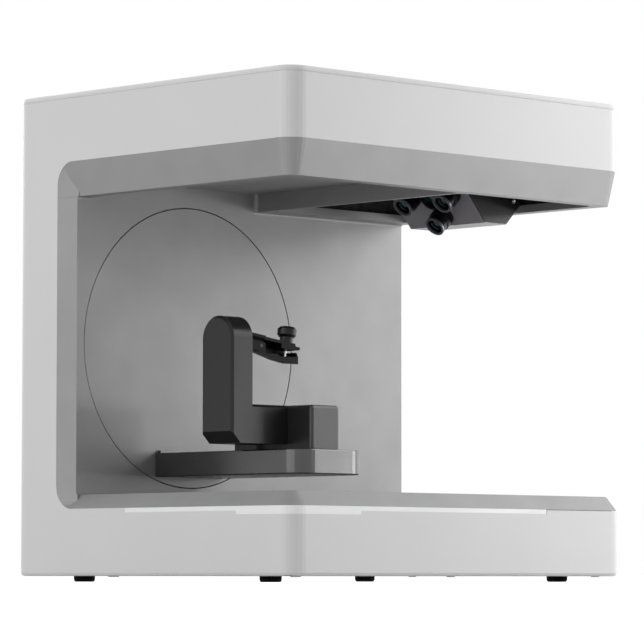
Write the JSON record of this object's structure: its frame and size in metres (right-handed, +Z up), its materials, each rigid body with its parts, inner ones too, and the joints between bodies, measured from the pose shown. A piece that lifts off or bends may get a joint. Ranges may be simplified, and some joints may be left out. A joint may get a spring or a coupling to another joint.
{
  "type": "desktop 3d scanner",
  "caption": "Desktop scanner with an open C-shaped housing, a swing disc and arm with a turntable and clamp fixture, and a camera module under its head.",
  "frame": {"origin": "on the table, under the middle of the bounding box", "axes": "+X to the right seen from the front, +Y to the back, +Z up"},
  "size_m": [0.3304, 0.2784, 0.34],
  "materials": {
    "shell_white": "satin moulded plastic",
    "cover_white": "satin moulded plastic",
    "plate_grey": "powder coat",
    "foot_rubber": "matt",
    "strip_light": "translucent diffuser",
    "liner_black": "matt",
    "carrier_grey": "fine texture",
    "lens_black": "black anodised",
    "rim_grey": "grey anodised",
    "glass_coated": "coated",
    "board_green": "circuit board",
    "steel_bright": "ground",
    "zinc": "zinc plated",
    "belt_rubber": "matt",
    "inlet_black": "satin",
    "disc_paint": "fine texture",
    "arm_black": "satin black",
    "table_black": "black anodised",
    "jaw_black": "black anodised",
    "pin_dark": "burnished",
    "motor_grey": "satin"
  },
  "bodies": {
    "base": {"housing": "shell_white", "top_cover": "cover_white", "bottom_plate": "plate_grey", "rear_panel": "cover_white", "feet": "foot_rubber", "light_strip": "strip_light", "bay_liner": "liner_black", "camera_carrier": "carrier_grey", "lens_barrels": "lens_black", "lens_rims": "rim_grey", "lens_glasses": "glass_coated", "camera_bodies": "motor_grey", "projector": "lens_black", "projector_lens": "glass_coated", "inner_frame": "zinc", "disc_bearing": "steel_bright", "disc_motor": "motor_grey", "disc_belt": "belt_rubber", "main_board": "board_green", "power_supply": "zinc", "power_inlet": "inlet_black", "data_ports": "steel_bright", "fan_frame": "inlet_black"},
    "swing": {"swing_disc": "disc_paint", "disc_hub": "steel_bright", "arm_flange": "arm_black", "arm_shell": "arm_black", "arm_cover": "arm_black", "table_bearing": "steel_bright", "arm_motor": "steel_bright", "arm_belt": "belt_rubber"},
    "table": {"turntable": "table_black", "mounting_block": "arm_black", "fixture_bracket": "arm_black", "upper_jaw": "jaw_black", "jaw_pin": "pin_dark"},
    "disc_drive": {"disc_motor_pulley": "steel_bright"},
    "table_drive": {"arm_motor_pulley": "steel_bright"},
    "jaw": {"lower_jaw": "jaw_black"},
    "screw": {"clamp_screw": "steel_bright", "clamp_knob": "jaw_black"},
    "fan": {"fan_rotor": "inlet_black"},
    "rocker": {"power_rocker": "inlet_black"}
  },
  "joints": [
    {"name": "swing", "type": "hinge", "parent": "base", "child": "swing", "pos_m": [-0.054, 0, 0.166], "axis": [0, 1, 0], "range_deg": [-100, 100]},
    {"name": "disc_motor_spin", "type": "hinge", "parent": "base", "child": "disc_drive", "pos_m": [0.074, 0, 0.166], "axis": [0, 1, 0], "range_deg": [-600, 600]},
    {"name": "turntable_spin", "type": "hinge", "parent": "swing", "child": "table", "pos_m": [-0.054, -0.02, 0.09], "axis": [0, 0, 1], "continuous": true},
    {"name": "arm_motor_spin", "type": "hinge", "parent": "swing", "child": "table_drive", "pos_m": [-0.054, 0.042, 0.08], "axis": [0, 0, 1], "continuous": true},
    {"name": "jaw_hinge", "type": "hinge", "parent": "table", "child": "jaw", "pos_m": [-0.087, -0.02, 0.162], "axis": [0, 1, 0], "range_deg": [0, 6]},
    {"name": "screw_turn", "type": "hinge", "parent": "table", "child": "screw", "pos_m": [-0.0544, -0.02, 0.16526], "axis": [0.1305, 0, 0.9914], "range_deg": [0, 360]},
    {"name": "fan_spin", "type": "hinge", "parent": "base", "child": "fan", "pos_m": [-0.092, 0.13, 0.066], "axis": [0, 1, 0], "continuous": true},
    {"name": "rocker_tilt", "type": "hinge", "parent": "base", "child": "rocker", "pos_m": [0.074, 0.1337, 0.04], "axis": [1, 0, 0], "range_deg": [0, 12]}
  ],
  "couplings": [
    {"joint": "disc_motor_spin", "follows": "swing", "ratio": 6},
    {"joint": "arm_motor_spin", "follows": "turntable_spin", "ratio": 2.3333},
    {"joint": "screw_turn", "follows": "jaw_hinge", "ratio": 60}
  ]
}
